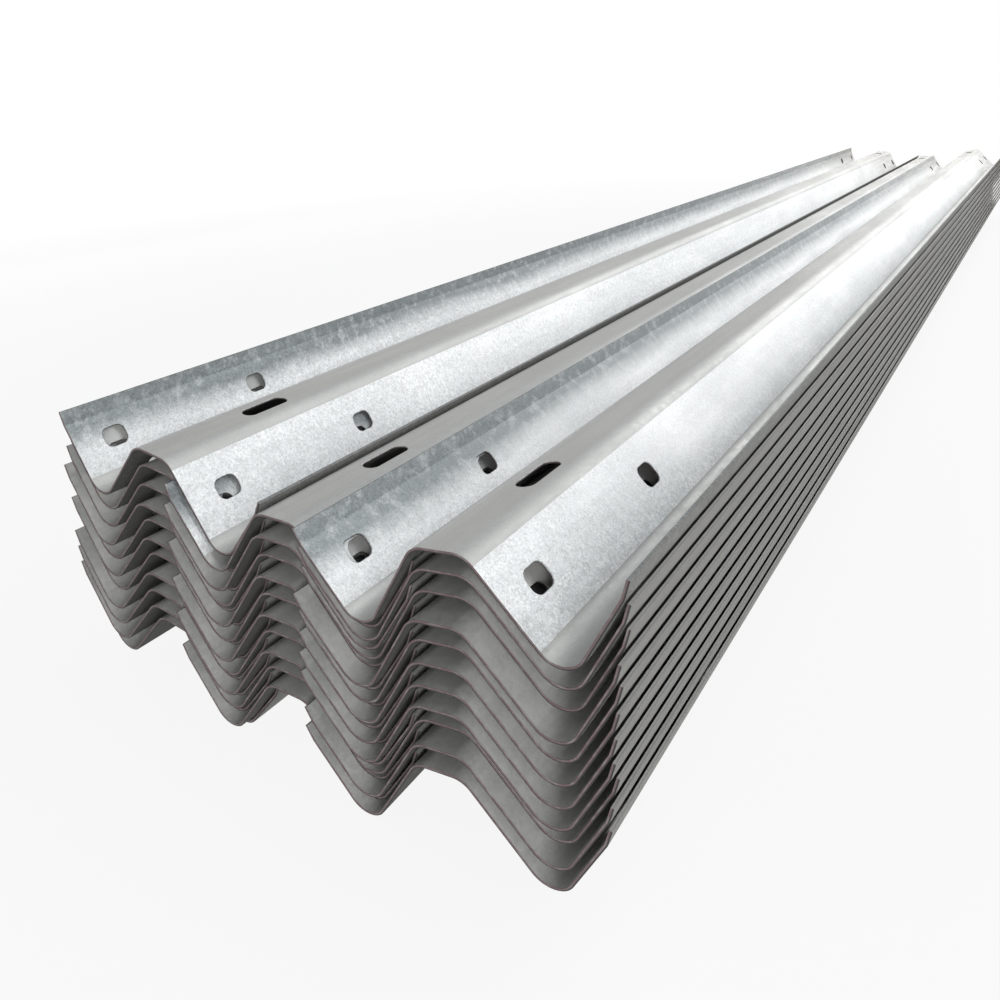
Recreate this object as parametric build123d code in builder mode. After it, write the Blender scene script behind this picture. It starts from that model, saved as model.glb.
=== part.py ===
from build123d import *
import math
import os

# Bundle of two-wave guardrail beams, millimetres. X runs across the bundle, Y along the
# beams with the near end at -Y, and Z up. The origin is under the middle of the bundle.

# The sheet and its section
sheet = 3
beam_length = 4320
beam_width = 310
beam_depth = 83
edge_reach = 58
crest_flat = 28
bend_radius = 22
outer_flank_angle = 57.5
lip_flare = 20

# Splice slots on the flanks and the post slot on the crest, at both ends
splice_slot_length = 29
splice_slot_width = 23
splice_slot_drop = 40
splice_end = 50
splice_step = 220
post_slot_length = 64
post_slot_width = 19
post_slot_end = 160

# The nest: two side columns of beams, with a middle column laid between their layers
side_layers = 11
middle_layers = side_layers - 1
roll = 7.5
side_shift = 5
seat_gap = 0.6
seat_precision = 0.005
# How far the near end of each beam stands back, lowest layer first
left_set_back = (31, 25, 26, 27, 37, 33, 39, 34, 42, 47, 43)
right_set_back = (3, 5, 14, 6, 8, 11, 15, 11, 25, 24, 21)
middle_set_back = (14, 19, 15, 22, 18, 25, 22, 29, 26, 31)


# Section of one beam, worked out on its upper face. A crown's lowest line lies edge_reach in from the edge.
crown_reach = beam_width / 2 - edge_reach
crest_radius = bend_radius + sheet / 2
crown_radius = bend_radius - sheet / 2
crown_drop = beam_depth - sheet
centre_run = crown_reach - crest_flat / 2
centre_fall = crown_drop - crest_radius - crown_radius
centre_distance = math.hypot(centre_run, centre_fall)
inner_flank_angle = math.degrees(
    math.atan2(centre_fall, centre_run) + math.asin((crest_radius + crown_radius) / centre_distance)
)
inner_flank_length = math.sqrt(centre_distance**2 - (crest_radius + crown_radius) ** 2)
lip_angle = 90 - lip_flare
punch_reach = 2 * sheet
octagon_cut = 1 / (2 + math.sqrt(2))


def polar(length, angle):
    """A step across and up the section."""
    return Vector(length * math.cos(math.radians(angle)), length * math.sin(math.radians(angle)))


def outer_runs():
    """Straight lengths of the outer flank and the lip, so that the lip ends at the beam's edge."""
    crown_centre = Vector(crown_reach, crown_radius - crown_drop)
    rest = Vector(beam_width / 2, 0) - crown_centre - polar(crown_radius, outer_flank_angle - 90)
    flank_way, lip_way = polar(1, outer_flank_angle), polar(1, lip_angle)
    cross = flank_way.X * lip_way.Y - flank_way.Y * lip_way.X
    flank_run = (rest.X * lip_way.Y - rest.Y * lip_way.X) / cross
    lip_run = (flank_way.X * rest.Y - flank_way.Y * rest.X) / cross
    return flank_run, lip_run


outer_flank_length, lip_length = outer_runs()


# The bent sheet seen from its near end: the upper face is drawn, mirrored and given its thickness
with BuildSketch() as section:
    with BuildLine():
        crest = Line((0, 0), (crest_flat / 2, 0))
        shoulder = JernArc(crest @ 1, crest % 1, crest_radius, -inner_flank_angle)
        flank = PolarLine(shoulder @ 1, inner_flank_length, -inner_flank_angle)
        crown = JernArc(flank @ 1, flank % 1, crown_radius, inner_flank_angle + outer_flank_angle)
        outer = PolarLine(crown @ 1, outer_flank_length, outer_flank_angle)
        PolarLine(outer @ 1, lip_length, lip_angle)
        mirror(about=Plane.YZ)
        offset(amount=sheet, side=Side.RIGHT, kind=Kind.INTERSECTION)
    make_face()


def beam_frame(across, along, up, tilt):
    """Frame of one beam: x across its section, y along it, z out of its crest."""
    return Plane(
        origin=(across, along, up),
        x_dir=(math.cos(math.radians(tilt)), 0, math.sin(math.radians(tilt))),
        z_dir=(-math.sin(math.radians(tilt)), 0, math.cos(math.radians(tilt))),
    )


def cross_plane(frame):
    """Plane across a beam, on which its section is drawn."""
    return Plane(origin=frame.origin, x_dir=frame.x_dir, z_dir=-frame.y_dir)


def slot_plane(frame, across, along, drop, lean):
    """Plane on the upper face at a slot, its x along the beam and its z out of the sheet."""
    outward = frame.x_dir * math.sin(math.radians(lean)) + frame.z_dir * math.cos(math.radians(lean))
    return Plane(origin=frame.from_local_coords((across, along, -drop)), x_dir=frame.y_dir, z_dir=outward)


def splice_planes(frame):
    """Planes of the splice slots: two on each of the four flanks, at both ends."""
    shoulder_across = crest_flat / 2 + crest_radius * math.sin(math.radians(inner_flank_angle))
    shoulder_drop = crest_radius * (1 - math.cos(math.radians(inner_flank_angle)))
    inner_across = shoulder_across + (splice_slot_drop - shoulder_drop) / math.tan(math.radians(inner_flank_angle))
    crown_across = crown_reach + crown_radius * math.sin(math.radians(outer_flank_angle))
    crown_end_drop = crown_drop - crown_radius * (1 - math.cos(math.radians(outer_flank_angle)))
    outer_across = crown_across + (crown_end_drop - splice_slot_drop) / math.tan(math.radians(outer_flank_angle))
    planes = []
    for end in (-1, 1):
        for from_end in (splice_end, splice_end + splice_step):
            along = end * (beam_length / 2 - from_end)
            for side in (-1, 1):
                planes.append(slot_plane(frame, side * inner_across, along, splice_slot_drop, side * inner_flank_angle))
                planes.append(slot_plane(frame, side * outer_across, along, splice_slot_drop, -side * outer_flank_angle))
    return planes


def post_planes(frame):
    """Planes of the post-bolt slots on the crest, one at each end."""
    return [slot_plane(frame, 0, end * (beam_length / 2 - post_slot_end), 0, 0) for end in (-1, 1)]


def make_beam(name, frame, open_flanks, open_crest):
    """One beam: the section drawn out to its length, with slots punched where its neighbours don't hide them.

    The rounded ends of a slot are cut as half octagons, which keeps the solids light.
    """
    slots = []
    if open_flanks:
        slots.append((splice_planes(frame), splice_slot_length, splice_slot_width))
    if open_crest:
        slots.append((post_planes(frame), post_slot_length, post_slot_width))
    with BuildPart() as beam:
        with BuildSketch(cross_plane(frame)):
            add(section.sketch)
        extrude(amount=beam_length / 2, both=True)
        for planes, length, width in slots:
            with BuildSketch(*planes) as slot:
                Rectangle(length, width)
                chamfer(slot.vertices(), length=width * octagon_cut)
            extrude(amount=punch_reach, both=True, mode=Mode.SUBTRACT)
    beam.part.label = name
    export_step(beam.part, f"parts/{name}.step")


def placed_section(frame):
    """The section of a beam where its frame puts it."""
    with BuildSketch(cross_plane(frame)) as placed:
        add(section.sketch)
    return placed.sketch


def seat_lift(lower, upper):
    """How far a section is raised until it lies seat_gap clear of the one below it."""
    low, high = 0, beam_depth
    while high - low > seat_precision:
        middle = (low + high) / 2
        if upper.moved(Location((0, 0, middle))).distance_to(lower) < seat_gap:
            low = middle
        else:
            high = middle
    return high


def crown_offset(tilt):
    """Where a beam's inner crown comes to lie from its frame's origin, once the beam is rolled."""
    rolled = math.radians(tilt)
    return (
        crown_reach * math.cos(rolled) - crown_drop * math.sin(rolled),
        -crown_reach * math.sin(rolled) - crown_drop * math.cos(rolled),
    )


# The side beams are rolled with their outer edges up, about the crowns that they share with the middle beams
crown_across, crown_up = crown_offset(roll)
side_across = crown_reach + side_shift + crown_across
side_level = -crown_drop - crown_up
left_section = placed_section(beam_frame(-side_across, 0, side_level, -roll))
middle_section = placed_section(beam_frame(0, 0, 0, 0))
middle_lift = seat_lift(left_section, middle_section)
side_lift = seat_lift(middle_section, left_section)
layer_pitch = max(middle_lift + side_lift, seat_lift(left_section, left_section))
bottom = left_section.bounding_box().min.Z
set_backs = left_set_back + right_set_back + middle_set_back
along_middle = (min(set_backs) + max(set_backs)) / 2

os.makedirs("parts", exist_ok=True)
for layer in range(side_layers):
    level = layer * layer_pitch - bottom
    in_sight = layer in (0, side_layers - 1)
    for name, side, set_back in (("left", -1, left_set_back), ("right", 1, right_set_back)):
        along = set_back[layer % len(set_back)] - along_middle
        frame = beam_frame(side * side_across, along, level + side_level, side * roll)
        make_beam(f"{name}_beam_{layer + 1:02}", frame, open_flanks=in_sight, open_crest=in_sight)
    if layer < middle_layers:
        along = middle_set_back[layer % len(middle_set_back)] - along_middle
        frame = beam_frame(0, along, level + middle_lift, 0)
        make_beam(f"middle_beam_{layer + 1:02}", frame, open_flanks=False, open_crest=layer == middle_layers - 1)
print("layer pitch", round(layer_pitch, 2), "middle lift", round(middle_lift, 2))
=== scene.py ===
import math

import bpy
from bpy.props import FloatProperty, FloatVectorProperty, IntProperty, PointerProperty
from mathutils import Matrix, Vector, geometry


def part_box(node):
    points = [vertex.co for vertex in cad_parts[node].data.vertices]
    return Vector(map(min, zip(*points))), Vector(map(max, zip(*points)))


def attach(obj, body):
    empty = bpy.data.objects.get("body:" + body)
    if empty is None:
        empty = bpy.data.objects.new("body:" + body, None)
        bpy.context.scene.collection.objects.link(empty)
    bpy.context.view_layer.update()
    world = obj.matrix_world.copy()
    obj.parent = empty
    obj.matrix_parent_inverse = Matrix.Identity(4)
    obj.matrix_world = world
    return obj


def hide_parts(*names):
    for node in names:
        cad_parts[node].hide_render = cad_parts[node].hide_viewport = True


bl_info = {
    "name": "Guardrail beam bundle",
    "version": (1, 0, 0),
    "blender": (4, 5, 0),
    "location": "3D View > Sidebar > Guardrail",
    "description": "Builds a nested bundle of galvanised two-wave guardrail beams",
    "category": "Add Mesh",
}

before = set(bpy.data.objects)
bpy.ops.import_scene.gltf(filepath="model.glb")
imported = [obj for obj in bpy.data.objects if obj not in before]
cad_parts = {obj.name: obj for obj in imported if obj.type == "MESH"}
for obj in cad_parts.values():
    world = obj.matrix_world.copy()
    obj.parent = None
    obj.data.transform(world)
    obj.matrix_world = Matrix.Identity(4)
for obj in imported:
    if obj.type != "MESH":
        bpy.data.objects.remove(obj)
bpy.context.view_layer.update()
# Two points closer than this are one
SAME_SPOT = 1e-7


# Properties

class BeamSettings(bpy.types.PropertyGroup):
    """Section and slots of one beam."""

    sheet: FloatProperty(name="Sheet", description="Thickness of the sheet", default=0.003, unit="LENGTH")
    length: FloatProperty(name="Length", description="Length of a beam", default=4.32, unit="LENGTH")
    width: FloatProperty(name="Width", description="Width over both edges", default=0.31, unit="LENGTH")
    depth: FloatProperty(name="Depth", description="Depth of the wave", default=0.083, unit="LENGTH")
    crown_reach: FloatProperty(
        name="Crown reach", description="From the middle to the lowest line of a wave",
        default=0.097, unit="LENGTH",
    )
    crest_flat: FloatProperty(
        name="Crest flat", description="Width of the flat crest", default=0.028, unit="LENGTH"
    )
    bend_radius: FloatProperty(
        name="Bend radius", description="Middle radius of the bends", default=0.022, unit="LENGTH"
    )
    outer_flank: FloatProperty(
        name="Outer flank", description="Slope of the outer flanks",
        default=math.radians(57.5), subtype="ANGLE",
    )
    lip_flare: FloatProperty(
        name="Lip flare", description="Lean of the edge lips from upright",
        default=math.radians(20), subtype="ANGLE",
    )
    edge_round: FloatProperty(
        name="Edge round", description="Rounding of the cut edges", default=0.0004, unit="LENGTH"
    )
    bend_steps: IntProperty(name="Bend steps", description="Facets along one bend", default=20, min=3)
    slot_round: FloatProperty(
        name="Slot round", description="Rolled-in rounding of the punched slots",
        default=0.0008, unit="LENGTH",
    )
    slot_steps: IntProperty(
        name="Slot steps", description="Facets along one corner of a slot", default=8, min=2
    )
    splice_slot_corner: FloatProperty(
        name="Splice slot corner", description="Corner radius of a splice slot", default=0.0085, unit="LENGTH"
    )
    splice_slot_length: FloatProperty(
        name="Splice slot length", description="Length of a splice slot", default=0.029, unit="LENGTH"
    )
    splice_slot_width: FloatProperty(
        name="Splice slot width", description="Width of a splice slot", default=0.023, unit="LENGTH"
    )
    splice_slot_drop: FloatProperty(
        name="Splice slot drop", description="Depth of the splice slots below the crest",
        default=0.04, unit="LENGTH",
    )
    splice_end: FloatProperty(
        name="Splice end", description="From the beam's end to the first splice slot",
        default=0.05, unit="LENGTH",
    )
    splice_step: FloatProperty(
        name="Splice step", description="From the first splice slot to the second",
        default=0.22, unit="LENGTH",
    )
    post_slot_length: FloatProperty(
        name="Post slot length", description="Length of the slot on the crest", default=0.064, unit="LENGTH"
    )
    post_slot_width: FloatProperty(
        name="Post slot width", description="Width of the slot on the crest", default=0.019, unit="LENGTH"
    )
    post_slot_end: FloatProperty(
        name="Post slot end", description="From the beam's end to the slot on the crest",
        default=0.16, unit="LENGTH",
    )


class ColumnSettings(bpy.types.PropertyGroup):
    """How the columns of beams lie."""

    roll: FloatProperty(
        name="Roll", description="Roll of the side columns, outer edge up",
        default=math.radians(7.5), subtype="ANGLE",
    )
    spread: FloatProperty(
        name="Tone spread", description="Difference in tone from beam to beam",
        default=0.5, min=0, max=1, subtype="FACTOR",
    )
    covered_lips: FloatProperty(
        name="Covered lips", description="Darkness of the lips below the uppermost beams",
        default=0.35, min=0, max=1, subtype="FACTOR",
    )


class FinishSettings(bpy.types.PropertyGroup):
    """Colours and surface of the zinc."""

    zinc: FloatVectorProperty(
        name="Zinc", description="Plain zinc", default=(0.56, 0.572, 0.576), subtype="COLOR"
    )
    dull_zinc: FloatVectorProperty(
        name="Dull zinc", description="Dull clouds on the zinc", default=(0.41, 0.425, 0.43), subtype="COLOR"
    )
    bend_zinc: FloatVectorProperty(
        name="Bend zinc", description="Smoother zinc of the bends",
        default=(0.27, 0.272, 0.262), subtype="COLOR",
    )
    crest_zinc: FloatVectorProperty(
        name="Crest zinc", description="Warmer zinc of the crest",
        default=(0.285, 0.28, 0.262), subtype="COLOR",
    )
    covered_zinc: FloatVectorProperty(
        name="Covered zinc", description="Even grey of the covered beams",
        default=(0.40, 0.40, 0.385), subtype="COLOR",
    )
    # Partly duller zinc and partly painted shade: the lower faces lie in the shadow of the sheets above
    under_zinc_and_shade: FloatVectorProperty(
        name="Lower face", description="Duller zinc of the lower faces",
        default=(0.165, 0.161, 0.152), subtype="COLOR",
    )
    grime: FloatVectorProperty(
        name="Grime", description="Brown film toward the far end",
        default=(0.086, 0.074, 0.060), subtype="COLOR",
    )
    bloom: FloatVectorProperty(
        name="Bloom", description="Pale dry bloom on the zinc", default=(0.69, 0.70, 0.70), subtype="COLOR"
    )
    warm_bloom: FloatVectorProperty(
        name="Warm bloom", description="Yellowish tint toward the far end",
        default=(0.46, 0.43, 0.37), subtype="COLOR",
    )
    lip_zinc: FloatVectorProperty(
        name="Lip zinc", description="Dark mottled zinc of the edge lips",
        default=(0.155, 0.172, 0.176), subtype="COLOR",
    )
    lip_reach: FloatProperty(
        name="Lip reach", description="Width of the dark strip along the edges", default=0.034, unit="LENGTH"
    )
    # Painted shade: the lower half of the cut edges is darkened for the shadow in the gap below each sheet
    cut_lower_painted_shade: FloatVectorProperty(
        name="Cut edge, lower half", description="Darker lower half of the cut edges",
        default=(0.03, 0.028, 0.03), subtype="COLOR",
    )
    cut: FloatVectorProperty(
        name="Cut edge", description="Sawn and sheared edges", default=(0.115, 0.08, 0.082), subtype="COLOR"
    )
    roughness: FloatProperty(
        name="Roughness", description="Roughness of the zinc",
        default=0.40, min=0, max=1, subtype="FACTOR",
    )
    spangle_size: FloatProperty(
        name="Spangle size", description="Size of a zinc crystal", default=0.0032, unit="LENGTH"
    )
    grain_size: FloatProperty(
        name="Grain size", description="Size of the fine speckle", default=0.0018, unit="LENGTH"
    )
    cloud_size: FloatProperty(
        name="Cloud size", description="Size of the dull clouds", default=0.11, unit="LENGTH"
    )


class StageSettings(bpy.types.PropertyGroup):
    """Camera, floor and lights."""

    eye: FloatVectorProperty(
        name="Eye", description="Camera position", default=(0.5228, -2.5985, 0.6025), subtype="XYZ"
    )
    yaw: FloatProperty(
        name="Yaw", description="Camera turn to the left", default=math.radians(35.65), subtype="ANGLE"
    )
    pitch: FloatProperty(
        name="Pitch", description="Camera tilt down", default=math.radians(22.82), subtype="ANGLE"
    )
    bank: FloatProperty(name="Bank", description="Camera roll", default=math.radians(-3.37), subtype="ANGLE")
    focus: FloatProperty(name="Focal length", description="Focal length in picture widths", default=0.8249)
    shift_x: FloatProperty(name="Shift across", description="Camera shift across", default=0.0448)
    shift_y: FloatProperty(name="Shift up", description="Camera shift up", default=-0.0429)
    floor_size: FloatProperty(name="Floor size", description="Side of the floor", default=60, unit="LENGTH")
    floor_colour: FloatVectorProperty(
        name="Floor colour", description="Colour of the floor", default=(0.45, 0.45, 0.45), subtype="COLOR"
    )
    sky_strength: FloatProperty(name="Sky strength", description="Strength of the pale sky", default=0.38)
    key_power: FloatProperty(name="Key power", description="Power of the large light behind", default=178)
    far_power: FloatProperty(
        name="Far power", description="Power of the low light beyond the far end", default=30
    )
    top_power: FloatProperty(name="Top power", description="Power of the light overhead", default=120)
    side_power: FloatProperty(name="Side power", description="Power of the low light on the right", default=2)
    left_power: FloatProperty(name="Left power", description="Power of the low light on the left", default=30)
    front_power: FloatProperty(name="Front power", description="Power of the light in front", default=150)


# Section and mesh of a beam

def section_points(beam):
    """Points of the upper face from left to right: place, slope, and kind of the next stretch."""
    crest_radius = beam.bend_radius + beam.sheet / 2
    crown_radius = beam.bend_radius - beam.sheet / 2
    crown_drop = beam.depth - beam.sheet
    run = beam.crown_reach - beam.crest_flat / 2
    fall = crown_drop - crest_radius - crown_radius
    distance = math.hypot(run, fall)
    inner_flank = math.atan2(fall, run) + math.asin((crest_radius + crown_radius) / distance)
    lip = math.pi / 2 - beam.lip_flare
    half = [(Vector((0, 0)), 0.0, "crest")]
    centre = Vector((beam.crest_flat / 2, -crest_radius))
    for step in range(beam.bend_steps + 1):
        angle = inner_flank * step / beam.bend_steps
        kind = "bend" if step < beam.bend_steps else "flank"
        half.append((centre + crest_radius * Vector((math.sin(angle), math.cos(angle))), -angle, kind))
    centre = Vector((beam.crown_reach, crown_radius - crown_drop))
    for step in range(2 * beam.bend_steps + 1):
        angle = -inner_flank + (inner_flank + beam.outer_flank) * step / (2 * beam.bend_steps)
        kind = "bend" if step < 2 * beam.bend_steps else "outer"
        half.append((centre + crown_radius * Vector((math.sin(angle), -math.cos(angle))), angle, kind))
    start = half[-1][0]
    rest = Vector((beam.width / 2, 0)) - start
    flank_way = Vector((math.cos(beam.outer_flank), math.sin(beam.outer_flank)))
    lip_way = Vector((math.cos(lip), math.sin(lip)))
    flank_run = rest.cross(lip_way) / flank_way.cross(lip_way)
    knee = start + flank_run * flank_way
    half.append((knee, (beam.outer_flank + lip) / 2, "lip"))
    half.append((Vector((beam.width / 2, 0)), lip, "end"))
    points = []
    for index in range(len(half) - 1, 0, -1):
        place, slope, _ = half[index]
        points.append((Vector((-place.x, place.y)), -slope, half[index - 1][2]))
    for place, slope, kind in half[1:]:
        points.append((place, slope, kind))
    return points


def slot_rows(beam, slope, place, kind):
    """Slots on a flat stretch: middle along and across it, length, width and corner radius."""
    half = beam.length / 2
    if kind == "crest":
        rows = [half - beam.post_slot_end]
        across = beam.crest_flat / 2
        slot = (beam.post_slot_length, beam.post_slot_width, beam.post_slot_width / 2)
    elif kind in ("flank", "outer"):
        rows = [half - beam.splice_end, half - beam.splice_end - beam.splice_step]
        across = abs((-beam.splice_slot_drop - place.y) / math.sin(slope))
        slot = (beam.splice_slot_length, beam.splice_slot_width, beam.splice_slot_corner)
    else:
        return []
    return [(end * y, across, *slot) for y in rows for end in (-1, 1)]


def slot_loop(beam, slot, grow):
    """Outline of a slot on its stretch, grown outward by a distance."""
    along, across, length, width, corner = slot
    loop = []
    for side, end in ((1, 1), (-1, 1), (-1, -1), (1, -1)):
        centre = Vector((across + side * (width / 2 - corner), along + end * (length / 2 - corner)))
        for step in range(beam.slot_steps + 1):
            share = step / beam.slot_steps
            angle = math.pi / 2 * (share if side == end else 1 - share)
            spot = centre + (corner + grow) * Vector((side * math.cos(angle), end * math.sin(angle)))
            if not loop or (spot - loop[-1]).length > SAME_SPOT:
                loop.append(spot)
    return loop


class SheetMesh:
    """Vertices and faces of one beam that lies level at the origin, with their normals and marks."""

    def __init__(self, beam):
        self.beam = beam
        self.points = section_points(beam)
        self.verts = []
        self.uvs = []
        self.depths = []
        self.faces = []
        self.normals = []
        self.kinds = []
        self.open_walls = {}
        self.runs = [0.0]
        for here, after in zip(self.points, self.points[1:]):
            self.runs.append(self.runs[-1] + (after[0] - here[0]).length)
        self.build()

    def normal(self, index):
        """Outward normal of the upper face at a point of the section."""
        slope = self.points[index][1]
        return Vector((-math.sin(slope), 0, math.cos(slope)))

    def way(self, index):
        """Direction across the section of the stretch after a point."""
        return (self.points[index + 1][0] - self.points[index][0]).normalized()

    def depth_step(self, index, depth):
        """How far a point moves along its normal, so that the lip's knee keeps the sheet's thickness."""
        kinds = {self.points[index][2], self.points[index - 1][2] if index else "end"}
        if kinds == {"lip", "outer"}:
            lip = math.pi / 2 - self.beam.lip_flare
            return depth / math.cos((lip - self.beam.outer_flank) / 2)
        return depth

    def add_point(self, index, along, depth, inset=0.0):
        """A vertex at a point of the section."""
        place = self.points[index][0]
        normal = self.normal(index)
        spot = Vector((place.x, along, place.y)) - normal * self.depth_step(index, depth)
        shift = 0.0
        if inset:
            shift = inset if index == 0 else -inset
            spot += Vector((normal.z, 0, -normal.x)) * shift
        self.verts.append(spot)
        self.uvs.append((self.runs[index] + shift, along))
        self.depths.append(depth / self.beam.sheet)
        return len(self.verts) - 1

    def add_flat(self, index, across, along, depth):
        """A vertex on the flat stretch after a point of the section."""
        way = self.way(index)
        spot = self.points[index][0] + way * across + Vector((way.y, -way.x)) * depth
        self.verts.append(Vector((spot.x, along, spot.y)))
        self.uvs.append((self.runs[index] + across, along))
        self.depths.append(depth / self.beam.sheet)
        return len(self.verts) - 1

    def add_face(self, corners, normals, kind):
        """A face with a normal at each corner, turned so that it looks outward."""
        spots = [self.verts[corner] for corner in corners]
        facing = (spots[1] - spots[0]).cross(spots[2] - spots[0])
        if len(spots) > 3:
            facing += (spots[2] - spots[0]).cross(spots[3] - spots[0])
        if facing.dot(sum(normals, Vector())) < 0:
            corners, normals = corners[::-1], normals[::-1]
        self.faces.append(corners)
        self.normals.extend(normals)
        self.kinds.append(kind)

    def build(self):
        """Faces of the whole beam."""
        half, edge, sheet = self.beam.length / 2, self.beam.edge_round, self.beam.sheet
        count = len(self.points)
        rings = (
            (half - edge, 0.0, edge),
            (half, edge, 0.0),
            (half, sheet - edge, 0.0),
            (half - edge, sheet, edge),
        )
        grid = {}
        for index in range(count):
            at_edge = index in (0, count - 1)
            for end in (-1, 1):
                for ring, (along, depth, inset) in enumerate(rings):
                    spot = self.add_point(index, end * along, depth, inset if at_edge else 0.0)
                    grid[index, end, ring] = spot
        for index in range(count - 1):
            self.add_strip(index, grid)
        for index, side in ((0, -1), (count - 1, 1)):
            self.add_edge(index, side, grid)

    def add_strip(self, index, grid):
        """Both faces of a stretch, and its ends with their rounded edges."""
        kind = self.points[index][2]
        here, after = self.normal(index), self.normal(index + 1)
        if kind != "bend":
            way = self.way(index)
            here = after = Vector((-way.y, 0, way.x))
        for ring, sign in ((0, 1), (3, -1)):
            spots = ((index, -1), (index + 1, -1), (index + 1, 1), (index, 1))
            corners = [grid[spot, end, ring] for spot, end in spots]
            normals = [sign * normal for normal in (here, after, after, here)]
            self.add_stretch(index, kind, corners, normals, ring)
        for end in (-1, 1):
            out = Vector((0, end, 0))
            for ring in range(3):
                corners = [grid[index, end, ring], grid[index + 1, end, ring]]
                corners += [grid[index + 1, end, ring + 1], grid[index, end, ring + 1]]
                first = (here, after) if ring == 0 else (out, out)
                second = (out, out) if ring < 2 else (-here, -after)
                self.add_face(corners, [first[0], first[1], second[1], second[0]], "cut")

    def add_edge(self, index, side, grid):
        """The long edge of the sheet with its rounding."""
        face = self.normal(index)
        out = Vector((face.z, 0, -face.x)) * side
        for ring in range(3):
            corners = [grid[index, -1, ring], grid[index, 1, ring]]
            corners += [grid[index, 1, ring + 1], grid[index, -1, ring + 1]]
            first = face if ring == 0 else out
            second = out if ring < 2 else -face
            self.add_face(corners, [first, first, second, second], "rim")

    def add_stretch(self, index, kind, corners, normals, ring):
        """One stretch of the sheet's upper or lower face, with its slots left open."""
        slots = self.slots(index, kind)
        if not slots:
            self.add_face(corners, normals, kind)
            return
        face = normals[0]
        depth = 0.0 if ring == 0 else self.beam.sheet
        wall = self.add_walls if ring == 0 else self.close_walls
        ids = list(corners)
        flat = [Vector((self.uvs[corner][0] - self.runs[index], self.uvs[corner][1])) for corner in corners]
        outer = len(corners)
        edges = [(step, (step + 1) % outer) for step in range(outer)]
        for slot in slots:
            first = len(ids)
            loop = slot_loop(self.beam, slot, self.beam.slot_round)
            for spot in loop:
                ids.append(self.add_flat(index, spot.x, spot.y, depth))
                flat.append(spot)
            edges += [(first + step, first + (step + 1) % len(loop)) for step in range(len(loop))]
            wall(index, slot, ids[first:], face)
        _, _, triangles, sources, *_ = geometry.delaunay_2d_cdt(flat, edges, [], 1, SAME_SPOT)
        # A triangle whose corners all lie on one slot's outline would fill that slot
        for triangle in triangles:
            spots = [sources[corner][0] for corner in triangle]
            loops = {(spot - outer) // len(loop) for spot in spots}
            if len(loops) > 1 or min(spots) < outer:
                self.add_face([ids[spot] for spot in spots], [face] * 3, kind)

    def slots(self, index, kind):
        """Slots of a stretch, whichever way along the section it is walked."""
        place, slope, _ = self.points[index]
        if kind == "outer" and place.x < 0:
            slope = self.points[index + 1][1]
        return slot_rows(self.beam, slope, place, kind)

    def add_band(self, first, second, first_normals, second_normals, kind):
        """Faces between two closed loops."""
        for step in range(len(first)):
            after = (step + 1) % len(first)
            corners = [first[step], first[after], second[after], second[step]]
            normals = [first_normals[step], first_normals[after], second_normals[after], second_normals[step]]
            self.add_face(corners, normals, kind)

    def add_walls(self, index, slot, rim, face):
        """The rounded upper edge and the wall of a slot."""
        beam = self.beam
        loop = slot_loop(beam, slot, 0.0)
        upper = [self.add_flat(index, spot.x, spot.y, beam.slot_round) for spot in loop]
        lower = [self.add_flat(index, spot.x, spot.y, beam.sheet - beam.slot_round) for spot in loop]
        inward = self.inward(index, slot, loop)
        self.add_band(rim, upper, [face] * len(rim), inward, "rim")
        self.add_band(upper, lower, inward, inward, "cut")
        self.open_walls[index, slot] = (lower, inward)

    def close_walls(self, index, slot, rim, face):
        """The rounded lower edge of a slot."""
        lower, inward = self.open_walls[index, slot]
        self.add_band(lower, rim, inward, [face] * len(rim), "rim")

    def inward(self, index, slot, loop):
        """Normals of a slot's wall, into the opening."""
        way = self.way(index)
        along, across, length, width, corner = slot
        wide, far = width / 2 - corner, length / 2 - corner
        normals = []
        for spot in loop:
            reach = Vector((spot.x - across, spot.y - along))
            core = Vector((max(-wide, min(wide, reach.x)), max(-far, min(far, reach.y))))
            step = (core - reach).normalized()
            normals.append(Vector((way.x * step.x, step.y, way.y * step.x)))
        return normals


MASKS = ("bend", "crest", "rim")


def add_mark(mesh, name, domain, values):
    """A value stored on each face or point of a mesh."""
    mesh.attributes.new(name, "FLOAT", domain).data.foreach_set("value", values)


def beam_piece(name, shape, place, shares):
    """A mesh object for one beam, with its own shares of lip, cover, seed and tone."""
    mesh = bpy.data.meshes.new(name)
    mesh.from_pydata([place @ vert for vert in shape.verts], [], shape.faces)
    turn = place.to_3x3()
    sheet_uv = mesh.uv_layers.new(name="sheet")
    for loop in mesh.loops:
        sheet_uv.data[loop.index].uv = shape.uvs[loop.vertex_index]
    for mask in MASKS:
        add_mark(mesh, mask, "FACE", [float(kind == mask) for kind in shape.kinds])
    add_mark(mesh, "depth", "POINT", shape.depths)
    add_mark(mesh, "edge", "POINT", [min(run, shape.runs[-1] - run) for run, _ in shape.uvs])
    for label, value in shares.items():
        add_mark(mesh, label, "FACE", [value] * len(shape.faces))
    mesh.polygons.foreach_set("material_index", [1 if kind == "cut" else 0 for kind in shape.kinds])
    mesh.polygons.foreach_set("use_smooth", [True] * len(shape.faces))
    mesh.update()
    mesh.normals_split_custom_set([turn @ normal for normal in shape.normals])
    mesh.validate()
    piece = bpy.data.objects.new(name, mesh)
    bpy.context.collection.objects.link(piece)
    return piece


def node_place(node, shape, roll):
    """Where a beam goes so that it fills the box of its node."""
    low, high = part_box(node)
    turn = Matrix.Rotation(-roll, 4, "Y")
    turned = [turn @ vert for vert in shape.verts]
    middle = [(min(v[axis] for v in turned) + max(v[axis] for v in turned)) / 2 for axis in range(3)]
    target = [(low[axis] + high[axis]) / 2 for axis in range(3)]
    return Matrix.Translation(Vector(target) - Vector(middle)) @ turn


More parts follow.
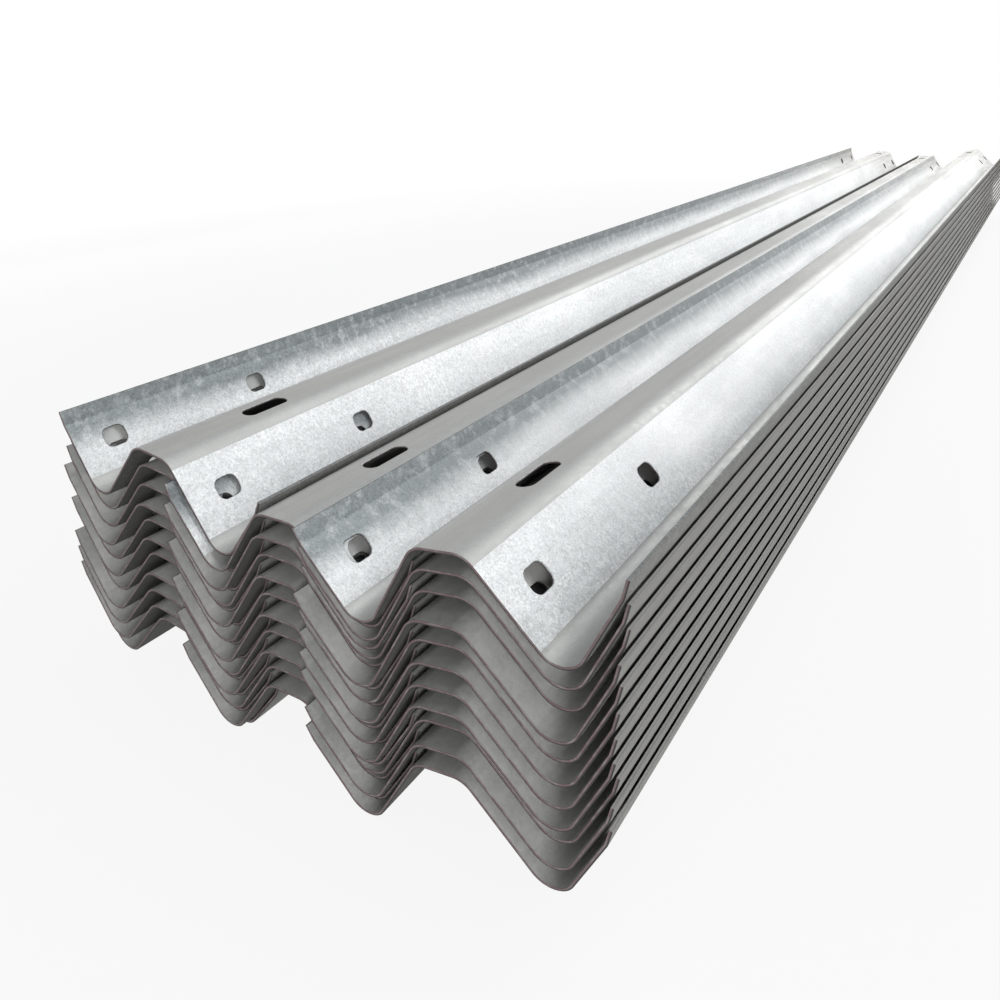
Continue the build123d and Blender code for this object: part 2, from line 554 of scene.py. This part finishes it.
# Large odd factors that scatter the beams' seeds and tones
NUMBER_SCATTER = 12.9898
PREFIX_SCATTER = 4.1414
SEED_SCATTER = 43758.5453
TONE_SCATTER = 7.31
SEED_RANGE = 10


def beam_seed(number, prefix):
    """A value between 0 and 1 that differs from beam to beam and is the same each run."""
    wave = math.sin(NUMBER_SCATTER * (number + 1) + len(prefix) * PREFIX_SCATTER)
    return abs(math.modf(wave * SEED_SCATTER)[0])


def build_column(prefix, roll):
    """One piece for each beam of a column."""
    scene = bpy.context.scene
    columns = scene.guardrail_columns
    shape = SheetMesh(scene.guardrail_beam)
    zinc, cut = zinc_material(), cut_material()
    column = sorted(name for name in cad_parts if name.startswith(prefix))
    for number, node in enumerate(column):
        seed = beam_seed(number, prefix)
        covered = node != column[-1]
        shares = {
            "lip": columns.covered_lips if covered else 1.0,
            "covered": float(covered),
            "seed": seed * SEED_RANGE,
            "tone": 0.5 + columns.spread * (math.modf(seed * TONE_SCATTER)[0] - 0.5),
        }
        piece = beam_piece(f"{node}_sheet", shape, node_place(node, shape, roll), shares)
        piece.data.materials.append(zinc)
        piece.data.materials.append(cut)
        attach(piece, "root")
        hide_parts(node)


# Materials

class Nodes:
    """Short calls for building a node tree."""

    def __init__(self, tree):
        self.tree = tree

    def link(self, output, target):
        """A link from an output to an input."""
        self.tree.links.new(output, target)

    def add(self, kind, inputs=None, **settings):
        """A node, its settings, and its inputs as values or sockets."""
        node = self.tree.nodes.new(kind)
        for key, value in settings.items():
            setattr(node, key, value)
        for key, value in (inputs or {}).items():
            if isinstance(value, bpy.types.NodeSocket):
                self.link(value, node.inputs[key])
            else:
                node.inputs[key].default_value = value
        return node

    def math(self, operation, first, second=0.0, clamp=False):
        """Result of a sum, product or other function."""
        node = self.add("ShaderNodeMath", {0: first, 1: second}, operation=operation, use_clamp=clamp)
        return node.outputs[0]

    def plus(self, first, second):
        """Sum of two values."""
        return self.math("ADD", first, second)

    def less(self, first, second):
        """The first value less the second."""
        return self.math("SUBTRACT", first, second)

    def times(self, first, second):
        """Product of two values."""
        return self.math("MULTIPLY", first, second)

    def over(self, first, second):
        """The first value divided by the second."""
        return self.math("DIVIDE", first, second)

    def larger(self, first, second):
        """The larger of two values."""
        return self.math("MAXIMUM", first, second)

    def inverse(self, value):
        """1 less the value."""
        return self.less(1.0, value)

    def blend(self, factor, first, second, mode="MIX"):
        """A mix of two colours."""
        node = self.add("ShaderNodeMix", {0: factor}, data_type="RGBA", blend_type=mode)
        for key, colour in ((6, first), (7, second)):
            if isinstance(colour, bpy.types.NodeSocket):
                self.link(colour, node.inputs[key])
            else:
                node.inputs[key].default_value = (*colour, 1)
        return node.outputs[2]

    def ramp(self, factor, low, high):
        """A value stretched so that low becomes 0 and high becomes 1."""
        values = {"Value": factor, "From Min": low, "From Max": high}
        return self.add("ShaderNodeMapRange", values, clamp=True).outputs["Result"]

    def noise(self, place, scale, detail, roughness=0.5):
        """Plain noise between 0 and 1."""
        values = {"Vector": place, "Scale": scale, "Detail": detail, "Roughness": roughness}
        return self.add("ShaderNodeTexNoise", values).outputs[0]

    def stretched(self, place, across, along):
        """Place on the sheet with its steps across and along the beam made smaller."""
        values = {"Vector": place, "Scale": (across, along, 1.0)}
        return self.add("ShaderNodeMapping", values).outputs[0]

    def attribute(self, name):
        """A value stored on the mesh."""
        return self.add("ShaderNodeAttribute", attribute_name=name).outputs["Fac"]

    def group(self, tree, inputs=None):
        """Outputs of a node group."""
        return self.add("ShaderNodeGroup", inputs, node_tree=tree).outputs


def new_group(name, inputs, outputs):
    """A shader node group with its sockets: nodes, values that come in, and sockets that go out."""
    group = bpy.data.node_groups.new(name, "ShaderNodeTree")
    for direction, sockets in (("INPUT", inputs), ("OUTPUT", outputs)):
        for label, kind in sockets.items():
            group.interface.new_socket(label, in_out=direction, socket_type=f"NodeSocket{kind}")
    nodes = Nodes(group)
    return nodes, nodes.add("NodeGroupInput").outputs, nodes.add("NodeGroupOutput").inputs


def sheet_place_group():
    """Place on the flat sheet in metres, moved by the beam's seed."""
    nodes, _, out = new_group("sheet place", {}, {"Place": "Vector"})
    sheet = nodes.add("ShaderNodeUVMap", uv_map="sheet").outputs["UV"]
    parts = nodes.add("ShaderNodeSeparateXYZ", {0: sheet}).outputs
    place = nodes.add("ShaderNodeCombineXYZ", {0: parts[0], 1: parts[1], 2: nodes.attribute("seed")})
    nodes.link(place.outputs[0], out["Place"])
    return nodes.tree


# How fine the noise that bends the crystals' borders is next to them, and its pull in metres
WARP_FINENESS = 0.7
WARP_PULL = 0.004


def spangle_group():
    """Zinc crystals: a tone for each crystal, and the grain over them."""
    inputs = {"Place": "Vector", "Size": "Float", "Grain": "Float"}
    nodes, into, out = new_group("zinc spangle", inputs, {"Crystal": "Float", "Grain": "Float"})
    place, size = into["Place"], into["Size"]
    warp = nodes.add("ShaderNodeTexNoise", {"Vector": place, "Scale": nodes.over(WARP_FINENESS, size)})
    values = {0: warp.outputs["Color"], "Scale": WARP_PULL}
    pull = nodes.add("ShaderNodeVectorMath", values, operation="SCALE").outputs[0]
    bent = nodes.add("ShaderNodeVectorMath", {0: place, 1: pull}, operation="ADD").outputs[0]
    cells = nodes.add("ShaderNodeTexVoronoi", {"Vector": bent, "Scale": nodes.over(1.0, size)})
    tone = nodes.add("ShaderNodeSeparateColor", {0: cells.outputs["Color"]}).outputs[0]
    grain = nodes.noise(place, nodes.over(1.0, into["Grain"]), 1, 0.6)
    nodes.link(tone, out["Crystal"])
    nodes.link(grain, out["Grain"])
    return nodes.tree


# How much finer the bloom, and the runs and drips, are than the clouds
BLOOM_FINENESS = 6.5
STREAK_FINENESS = 9.0
# Shares by which the steps shrink: clouds and runs along the beam, drips across it
CLOUD_STRETCH = 0.45
RUN_STRETCH = 0.05
DRIP_STRETCH = 0.12
# Values of the noise between which each pattern goes from nothing to full
CLOUD_RANGE = (0.34, 0.66)
BLOOM_RANGE = (0.50, 0.72)
RUN_RANGE = (0.36, 0.64)
DRIP_RANGE = (0.3, 0.7)


def cloud_group():
    """Dull clouds, dry bloom, runs that lie along the beam, and drips that lie across it."""
    outputs = {"Cloud": "Float", "Bloom": "Float", "Runs": "Float", "Drips": "Float"}
    nodes, into, out = new_group("zinc clouds", {"Place": "Vector", "Size": "Float"}, outputs)
    place = into["Place"]
    scale = nodes.over(1.0, into["Size"])
    streaks = nodes.times(scale, STREAK_FINENESS)
    cloud = nodes.noise(nodes.stretched(place, 1.0, CLOUD_STRETCH), scale, 3, 0.62)
    bloom = nodes.noise(place, nodes.times(scale, BLOOM_FINENESS), 3, 0.7)
    runs = nodes.noise(nodes.stretched(place, 1.0, RUN_STRETCH), streaks, 2, 0.6)
    drips = nodes.noise(nodes.stretched(place, DRIP_STRETCH, 1.0), streaks, 2, 0.6)
    nodes.link(nodes.ramp(cloud, *CLOUD_RANGE), out["Cloud"])
    nodes.link(nodes.ramp(bloom, *BLOOM_RANGE), out["Bloom"])
    nodes.link(nodes.ramp(runs, *RUN_RANGE), out["Runs"])
    nodes.link(nodes.ramp(drips, *DRIP_RANGE), out["Drips"])
    return nodes.tree


# Where marks begin and end: along the beam from its middle, in from the edge, and down through the sheet
FAR_REACH = (0.2, 2.1)
TAIL_REACH = (1.5, 2.16)
HEAD_REACH = (-2.16, -1.75)
INNER_REACH = (0.08, 0.11)
UNDER_REACH = (0.35, 0.6)


def zinc_marks(nodes, place):
    """Masks of the sheet: kinds of face, cover, and stretches across and along the beam."""
    marks = {name: nodes.attribute(name) for name in (*MASKS, "tone", "covered", "edge", "lip")}
    along = nodes.add("ShaderNodeSeparateXYZ", {0: place}).outputs[1]
    marks["under"] = nodes.ramp(nodes.attribute("depth"), *UNDER_REACH)
    marks["far"] = nodes.ramp(along, *FAR_REACH)
    marks["tail"] = nodes.ramp(along, *TAIL_REACH)
    marks["head"] = nodes.inverse(nodes.ramp(along, *HEAD_REACH))
    # Away from the edges: where the painted shade of the lower faces falls
    marks["inner"] = nodes.ramp(marks["edge"], *INNER_REACH)
    marks["even"] = nodes.larger(nodes.larger(marks["bend"], marks["crest"]), marks["covered"])
    return marks


# How ragged the dark strip along an edge is and how wide it fades, in metres
LIP_DRIPS = 0.004
LIP_CLOUDS = 0.010
LIP_FADE = 0.028


def lip_strip(nodes, into, clouds, marks):
    """The ragged dark strip along the edges."""
    place = nodes.plus(marks["edge"], nodes.times(clouds["Drips"], LIP_DRIPS))
    place = nodes.plus(place, nodes.times(clouds["Cloud"], LIP_CLOUDS))
    reach = into["Lip reach"]
    strip = nodes.inverse(nodes.ramp(place, reach, nodes.plus(reach, LIP_FADE)))
    return nodes.times(strip, marks["lip"])


# Shares of the layers of colour where they are strongest
CLOUD_SHARE = 0.45
HEAD_SHARE = 0.6
BEND_SHARE = 0.8
CREST_SHARE = 0.85
COVERED_SHARE = 0.85
LIP_MOTTLE = 0.3
BLOOM_SHARE = 0.3
BLOOM_LOSS = 0.24
WARM_SHARE = 0.4
UNDER_SHADE_SHARE = 0.8
FILM_SHARE = 0.85
STAIN_SHARE = 0.34
STAIN_RUNS = 0.32


def zinc_colour(nodes, into, clouds, marks):
    """Colour of the zinc, laid on in layers; the darker lower faces are partly duller zinc and partly painted
    shade.
    """
    base = nodes.blend(nodes.times(clouds["Cloud"], CLOUD_SHARE), into["Zinc"], into["Dull"])
    base = nodes.blend(nodes.times(marks["head"], HEAD_SHARE), base, into["Dull"])
    base = nodes.blend(nodes.times(marks["bend"], BEND_SHARE), base, into["Bend"])
    base = nodes.blend(nodes.times(marks["crest"], CREST_SHARE), base, into["Crest"])
    base = nodes.blend(nodes.times(marks["covered"], COVERED_SHARE), base, into["Covered"])
    lip = lip_strip(nodes, into, clouds, marks)
    mottle = nodes.inverse(nodes.times(clouds["Bloom"], LIP_MOTTLE))
    base = nodes.blend(nodes.times(lip, mottle), base, into["Lip"])
    bare = nodes.less(BLOOM_SHARE, nodes.times(nodes.larger(marks["even"], lip), BLOOM_LOSS))
    base = nodes.blend(nodes.times(clouds["Bloom"], bare), base, into["Bloom"])
    tinge = nodes.times(marks["far"], nodes.times(clouds["Runs"], WARM_SHARE))
    base = nodes.blend(tinge, base, into["Warm"])
    # Lower faces darkened: partly duller zinc, partly painted shade
    base = nodes.blend(nodes.times(marks["under"], UNDER_SHADE_SHARE), base, into["Under"])
    film = nodes.times(nodes.times(marks["under"], marks["far"]), FILM_SHARE)
    stain = nodes.plus(STAIN_SHARE, nodes.times(clouds["Runs"], STAIN_RUNS))
    film = nodes.larger(film, nodes.times(marks["tail"], stain))
    return nodes.blend(film, base, into["Grime"])


# Tone of the zinc: its plain level, what each pattern adds or takes, and the painted shade deep in the stack
PLAIN_TONE = 0.90
CRYSTAL_TONE = 0.30
SPECK_TONE = 0.34
SPECK_RANGE = (0.32, 0.68)
EVEN_LOSS = 0.75
RUN_TONE = 0.08
BEAM_TONE = 0.12
RIM_LOSS = 0.4
DEEP_PAINTED_SHADE = 0.6


def zinc_tone(nodes, clouds, spangle, marks):
    """How light the zinc is from spot to spot, with painted shade on the lower faces away from the edges."""
    speck = nodes.ramp(spangle["Grain"], *SPECK_RANGE)
    tone = nodes.plus(nodes.times(spangle["Crystal"], CRYSTAL_TONE), nodes.times(speck, SPECK_TONE))
    tone = nodes.less(tone, (CRYSTAL_TONE + SPECK_TONE) / 2)
    tone = nodes.times(tone, nodes.inverse(nodes.times(marks["even"], EVEN_LOSS)))
    tone = nodes.plus(tone, nodes.times(clouds["Runs"], RUN_TONE))
    tone = nodes.plus(tone, nodes.times(marks["tone"], BEAM_TONE))
    upper_rim = nodes.times(marks["rim"], nodes.inverse(marks["under"]))
    tone = nodes.plus(tone, nodes.less(PLAIN_TONE, nodes.times(upper_rim, RIM_LOSS)))
    # Painted shade: the lower faces away from the edges, under the crests deep in the stack, are darkened
    painted_deep_shade = nodes.times(nodes.times(marks["under"], marks["inner"]), DEEP_PAINTED_SHADE)
    tone = nodes.times(tone, nodes.inverse(painted_deep_shade))
    return nodes.add("ShaderNodeCombineColor", {0: tone, 1: tone, 2: tone}).outputs[0]


# What each pattern adds to the roughness and to the height
CLOUD_ROUGHNESS = 0.10
CRYSTAL_ROUGHNESS = 0.22
BLOOM_ROUGHNESS = 0.08
UNDER_ROUGHNESS = 0.5
GRAIN_HEIGHT = 0.5
CLOUD_HEIGHT = 1.5
ZINC_RELIEF = {"Strength": 0.35, "Distance": 0.0004}


def zinc_roughness(nodes, into, clouds, spangle, marks):
    """Roughness of the zinc, higher on the lower face."""
    rough = nodes.plus(into["Base roughness"], nodes.times(clouds["Cloud"], CLOUD_ROUGHNESS))
    rough = nodes.plus(rough, nodes.times(nodes.less(spangle["Crystal"], 0.5), CRYSTAL_ROUGHNESS))
    rough = nodes.plus(rough, nodes.times(clouds["Bloom"], BLOOM_ROUGHNESS))
    return nodes.math("ADD", rough, nodes.times(marks["under"], UNDER_ROUGHNESS), clamp=True)


def zinc_normal(nodes, clouds, spangle):
    """Fine relief of the zinc."""
    grain = nodes.times(spangle["Grain"], GRAIN_HEIGHT)
    height = nodes.plus(grain, nodes.times(clouds["Cloud"], CLOUD_HEIGHT))
    return nodes.add("ShaderNodeBump", {"Height": height, **ZINC_RELIEF}).outputs[0]


# Inputs of the zinc surface, and the setting that each takes its value from
ZINC_COLOURS = {
    "Zinc": "zinc",
    "Dull": "dull_zinc",
    "Bend": "bend_zinc",
    "Crest": "crest_zinc",
    "Lip": "lip_zinc",
    "Bloom": "bloom",
    "Warm": "warm_bloom",
    "Covered": "covered_zinc",
    "Under": "under_zinc_and_shade",
    "Grime": "grime",
}
ZINC_VALUES = {
    "Spangle size": "spangle_size",
    "Grain size": "grain_size",
    "Cloud size": "cloud_size",
    "Base roughness": "roughness",
    "Lip reach": "lip_reach",
}


def zinc_group():
    """Colour, roughness and relief of the zinc from its crystals, clouds and marks."""
    inputs = {**dict.fromkeys(ZINC_COLOURS, "Color"), **dict.fromkeys(ZINC_VALUES, "Float")}
    outputs = {"Color": "Color", "Roughness": "Float", "Normal": "Vector"}
    nodes, into, out = new_group("zinc surface", inputs, outputs)
    place = nodes.group(sheet_place_group())["Place"]
    sizes = {"Place": place, "Size": into["Spangle size"], "Grain": into["Grain size"]}
    spangle = nodes.group(spangle_group(), sizes)
    clouds = nodes.group(cloud_group(), {"Place": place, "Size": into["Cloud size"]})
    marks = zinc_marks(nodes, place)
    colour = zinc_colour(nodes, into, clouds, marks)
    tone = zinc_tone(nodes, clouds, spangle, marks)
    nodes.link(nodes.blend(1.0, colour, tone, "MULTIPLY"), out["Color"])
    nodes.link(zinc_roughness(nodes, into, clouds, spangle, marks), out["Roughness"])
    nodes.link(zinc_normal(nodes, clouds, spangle), out["Normal"])
    return nodes.tree


def new_material(name):
    """A material with an empty Principled shader."""
    material = bpy.data.materials.new(name)
    material.use_nodes = True
    return material, Nodes(material.node_tree), material.node_tree.nodes["Principled BSDF"]


# Share of bare metal in the shaders, and the strength of their mirror light
ZINC_METALLIC = 0.25
ZINC_SPECULAR = 0.2
CUT_METALLIC = 0.45


def zinc_material():
    """Hot-dip galvanised face of the sheet."""
    name = "galvanised sheet"
    if name in bpy.data.materials:
        return bpy.data.materials[name]
    finish = bpy.context.scene.guardrail_finish
    material, nodes, shader = new_material(name)
    values = {label: getattr(finish, key) for label, key in ZINC_VALUES.items()}
    values.update({label: (*getattr(finish, key), 1) for label, key in ZINC_COLOURS.items()})
    surface = nodes.group(zinc_group(), values)
    for output, target in (("Color", "Base Color"), ("Roughness", "Roughness"), ("Normal", "Normal")):
        nodes.link(surface[output], shader.inputs[target])
    shader.inputs["Metallic"].default_value = ZINC_METALLIC
    shader.inputs["Specular IOR Level"].default_value = ZINC_SPECULAR
    return material


# How many times a metre the film and the scratches of cut edges repeat
FILM_FINENESS = 90.0
SCRATCH_FINENESS = 900.0
# How much metal shows and where, where the dark lower half (painted shade of the gap under the sheet) begins,
# and how rough and uneven the film is
BARE_SHARE = 0.35
BARE_RANGE = (0.45, 0.8)
LOWER_HALF = (0.45, 0.65)
FILM_ROUGHNESS = (-0.6, 1.2)
CUT_RELIEF = {"Strength": 0.3, "Distance": 0.0003}


def cut_material():
    """Sheared ends and punched slot walls, with a brownish film over the steel and painted shade over their
    lower half.
    """
    name = "cut edge"
    if name in bpy.data.materials:
        return bpy.data.materials[name]
    finish = bpy.context.scene.guardrail_finish
    material, nodes, shader = new_material(name)
    place = nodes.add("ShaderNodeTexCoord").outputs["Object"]
    film = nodes.noise(place, FILM_FINENESS, 3, 0.65)
    scratches = nodes.noise(place, SCRATCH_FINENESS, 2)
    bare = nodes.times(nodes.ramp(film, *BARE_RANGE), BARE_SHARE)
    colour = nodes.blend(bare, finish.cut, finish.dull_zinc)
    # Painted shade on the lower half of the edge, for the shadow in the gap below the sheet
    lower = nodes.ramp(nodes.attribute("depth"), *LOWER_HALF)
    colour = nodes.blend(lower, colour, finish.cut_lower_painted_shade)
    bump = nodes.add("ShaderNodeBump", {"Height": scratches, **CUT_RELIEF})
    nodes.link(colour, shader.inputs["Base Color"])
    nodes.link(nodes.ramp(film, *FILM_ROUGHNESS), shader.inputs["Roughness"])
    nodes.link(bump.outputs[0], shader.inputs["Normal"])
    shader.inputs["Metallic"].default_value = CUT_METALLIC
    return material


# Stage

WHITE = (1.0, 1.0, 1.0, 1.0)
SKY_BLUE = (0.93, 0.96, 1.0, 1.0)
# The floor lies a hair below the beams, in metres
FLOOR_DROP = 0.0005
# Distances from the middle between which the floor turns white, and the shares of white there
WHITE_REACH = {"From Min": 2.0, "From Max": 5.0, "To Min": 0.88, "To Max": 1.0}
# The floor's faint mottling: how fine and how strong it is, and its colour
FLOOR_GRAIN = 40.0
FLOOR_MOTTLE = 0.04
FLOOR_TINT = (0.41, 0.41, 0.41)
FLOOR_ROUGHNESS = 0.9
# Width of the camera's sensor in millimetres, and how far it sees in metres
SENSOR = 36
SIGHT = 200


def seen_directly(nodes):
    """1 for rays that come straight from the camera or by way of metal or glass."""
    path = nodes.add("ShaderNodeLightPath").outputs
    direct = nodes.larger(path["Is Camera Ray"], path["Is Glossy Ray"])
    return nodes.larger(direct, path["Is Transmission Ray"])


def floor_material(colour):
    """A plain pale floor that turns white away from the object and keeps its shadow."""
    material, nodes, shader = new_material("pale floor")
    place = nodes.add("ShaderNodeTexCoord").outputs["Object"]
    distance = nodes.add("ShaderNodeVectorMath", {0: place}, operation="LENGTH").outputs["Value"]
    share = nodes.add("ShaderNodeMapRange", {"Value": distance, **WHITE_REACH}).outputs["Result"]
    share = nodes.times(share, seen_directly(nodes))
    white = nodes.add("ShaderNodeEmission", {"Color": WHITE, "Strength": 1.0}).outputs[0]
    both = nodes.add("ShaderNodeMixShader", {0: share, 1: shader.outputs[0], 2: white}).outputs[0]
    nodes.link(both, nodes.tree.nodes["Material Output"].inputs["Surface"])
    grain = nodes.add("ShaderNodeTexNoise", {"Scale": FLOOR_GRAIN, "Detail": 3}).outputs[0]
    tint = nodes.blend(nodes.times(grain, FLOOR_MOTTLE), colour, FLOOR_TINT)
    nodes.link(tint, shader.inputs["Base Color"])
    shader.inputs["Roughness"].default_value = FLOOR_ROUGHNESS
    return material


def build_floor(stage):
    """A flat floor under the bundle."""
    half = stage.floor_size / 2
    corners = [(-half, -half, 0), (half, -half, 0), (half, half, 0), (-half, half, 0)]
    mesh = bpy.data.meshes.new("floor")
    mesh.from_pydata(corners, [], [(0, 1, 2, 3)])
    mesh.materials.append(floor_material(stage.floor_colour))
    floor = bpy.data.objects.new("floor", mesh)
    floor.location.z = -FLOOR_DROP
    bpy.context.collection.objects.link(floor)


# Each light's place, the spot it looks at, its width and height in metres, and its colour
LIGHTS = {
    "key": ((1.6, 5.0, 3.4), (0, 1.0, 0.2), (4.0, 2.6), (1.0, 0.995, 0.98)),
    "far": ((0.0, 6.2, 1.1), (0.1, 0.6, 0.2), (3.2, 1.4), (1.0, 1.0, 1.0)),
    "top": ((1.9, 0.2, 3.2), (0, 0.2, 0.2), (2.6, 5.0), (0.98, 0.99, 1.0)),
    "side": ((3.4, -0.8, 0.3), (0, -0.8, 0.15), (5.0, 0.4), (1.0, 0.99, 0.98)),
    "left": ((-3.6, 0.8, 0.7), (0, 0.4, 0.15), (5.0, 0.8), (1.0, 1.0, 1.0)),
    "front": ((1.9, -4.9, 0.9), (0, -2.1, 0.15), (3.0, 1.2), (1.0, 0.99, 0.98)),
}


def area_light(name, power):
    """A soft rectangular light that looks at a spot."""
    place, target, size, colour = LIGHTS[name]
    data = bpy.data.lights.new(name, "AREA")
    data.shape = "RECTANGLE"
    data.size, data.size_y = size
    data.energy = power
    data.color = colour
    light = bpy.data.objects.new(name, data)
    light.location = place
    light.rotation_euler = (Vector(target) - Vector(place)).to_track_quat("-Z", "Y").to_euler()
    bpy.context.collection.objects.link(light)


def build_world(strength):
    """A pale sky that is white to the camera."""
    world = bpy.data.worlds.new("pale sky")
    world.use_nodes = True
    nodes = Nodes(world.node_tree)
    light = world.node_tree.nodes["Background"]
    light.inputs["Color"].default_value = SKY_BLUE
    light.inputs["Strength"].default_value = strength
    seen = nodes.add("ShaderNodeBackground", {"Color": WHITE, "Strength": 1.0}).outputs[0]
    shares = {0: seen_directly(nodes), 1: light.outputs[0], 2: seen}
    both = nodes.add("ShaderNodeMixShader", shares).outputs[0]
    nodes.link(both, nodes.tree.nodes["World Output"].inputs["Surface"])
    bpy.context.scene.world = world


def build_camera(stage):
    """A camera at the picture's place and angle."""
    data = bpy.data.cameras.new("camera")
    data.sensor_width = SENSOR
    data.lens = SENSOR * stage.focus
    data.shift_x, data.shift_y = stage.shift_x, stage.shift_y
    data.clip_end = SIGHT
    camera = bpy.data.objects.new("camera", data)
    turn = Matrix.Rotation(stage.yaw, 3, "Z") @ Matrix.Rotation(math.pi / 2 - stage.pitch, 3, "X")
    turn = turn @ Matrix.Rotation(stage.bank, 3, "Z")
    camera.matrix_world = Matrix.Translation(stage.eye) @ turn.to_4x4()
    bpy.context.collection.objects.link(camera)
    bpy.context.scene.camera = camera


# Operators

class GUARDRAIL_OT_left_column(bpy.types.Operator):
    """Build the left column of beams"""

    bl_idname = "guardrail.left_column"
    bl_label = "Left column"

    def execute(self, context):
        build_column("left_beam", -context.scene.guardrail_columns.roll)
        return {"FINISHED"}


class GUARDRAIL_OT_right_column(bpy.types.Operator):
    """Build the right column of beams"""

    bl_idname = "guardrail.right_column"
    bl_label = "Right column"

    def execute(self, context):
        build_column("right_beam", context.scene.guardrail_columns.roll)
        return {"FINISHED"}


class GUARDRAIL_OT_middle_column(bpy.types.Operator):
    """Build the middle column of beams"""

    bl_idname = "guardrail.middle_column"
    bl_label = "Middle column"

    def execute(self, context):
        build_column("middle_beam", 0)
        return {"FINISHED"}


class GUARDRAIL_OT_stage(bpy.types.Operator):
    """Build the floor, the sky, the lights and the camera"""

    bl_idname = "guardrail.stage"
    bl_label = "Stage"

    def execute(self, context):
        stage = context.scene.guardrail_stage
        build_floor(stage)
        build_world(stage.sky_strength)
        for name in LIGHTS:
            area_light(name, getattr(stage, f"{name}_power"))
        build_camera(stage)
        context.scene.view_settings.view_transform = "Standard"
        return {"FINISHED"}


class GUARDRAIL_PT_panel(bpy.types.Panel):
    """The settings and the steps in the sidebar"""

    bl_idname = "GUARDRAIL_PT_panel"
    bl_label = "Guardrail bundle"
    bl_space_type = "VIEW_3D"
    bl_region_type = "UI"
    bl_category = "Guardrail"

    def draw(self, context):
        for name in SETTINGS:
            settings = getattr(context.scene, name)
            box = self.layout.box()
            box.label(text=name.removeprefix("guardrail_").capitalize())
            for key in settings.bl_rna.properties.keys():
                if key not in ("rna_type", "name"):
                    box.prop(settings, key)
        for step in STEPS:
            self.layout.operator(step.bl_idname)


STEPS = (
    GUARDRAIL_OT_left_column,
    GUARDRAIL_OT_right_column,
    GUARDRAIL_OT_middle_column,
    GUARDRAIL_OT_stage,
)
SETTINGS = {
    "guardrail_beam": BeamSettings,
    "guardrail_columns": ColumnSettings,
    "guardrail_finish": FinishSettings,
    "guardrail_stage": StageSettings,
}


def register():
    """Add the settings, the steps and the panel."""
    for name, group in SETTINGS.items():
        bpy.utils.register_class(group)
        setattr(bpy.types.Scene, name, PointerProperty(type=group))
    for kind in (*STEPS, GUARDRAIL_PT_panel):
        bpy.utils.register_class(kind)


def unregister():
    """Take them away again."""
    for kind in (GUARDRAIL_PT_panel, *reversed(STEPS)):
        bpy.utils.unregister_class(kind)
    for name, group in SETTINGS.items():
        delattr(bpy.types.Scene, name)
        bpy.utils.unregister_class(group)


def main():
    """Build the bundle and the stage."""
    register()
    bpy.ops.guardrail.left_column()
    bpy.ops.guardrail.right_column()
    bpy.ops.guardrail.middle_column()
    bpy.ops.guardrail.stage()


if __name__ == "__main__":
    main()
